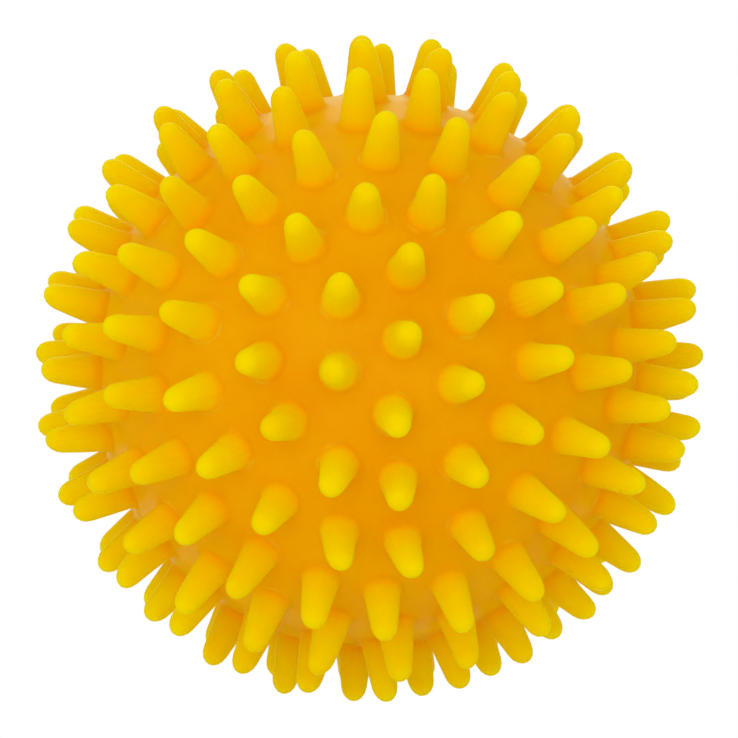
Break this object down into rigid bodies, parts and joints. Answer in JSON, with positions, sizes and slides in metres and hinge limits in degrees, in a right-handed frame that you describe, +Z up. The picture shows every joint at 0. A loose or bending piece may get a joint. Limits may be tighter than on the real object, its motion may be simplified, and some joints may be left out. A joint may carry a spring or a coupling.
{
  "type": "spiky massage ball",
  "caption": "Hollow soft vinyl massage ball covered in rings of tapered, round-tipped spikes, with a pull-out plug in its air hole.",
  "frame": {"origin": "centre of the ball's round skin", "axes": "Y is the axis of the mould, with the front pole spike along -Y and the air hole along +Y; +Z is up and +X to the right as seen from the front"},
  "size_m": [0.0794, 0.0788, 0.0794],
  "materials": {
    "yellow_vinyl": "soft semi-gloss translucent vinyl, orange-yellow on the skin and brighter yellow towards the thin spike tips",
    "plug_vinyl": "satin off-white vinyl"
  },
  "bodies": {
    "ball": {"spiked_skin": "yellow_vinyl"},
    "plug": {"valve_plug": "plug_vinyl"}
  },
  "joints": [
    {"name": "plug_pull", "type": "slide", "parent": "ball", "child": "plug", "axis": [0, 1, 0], "range_m": [0, 0.014]}
  ]
}
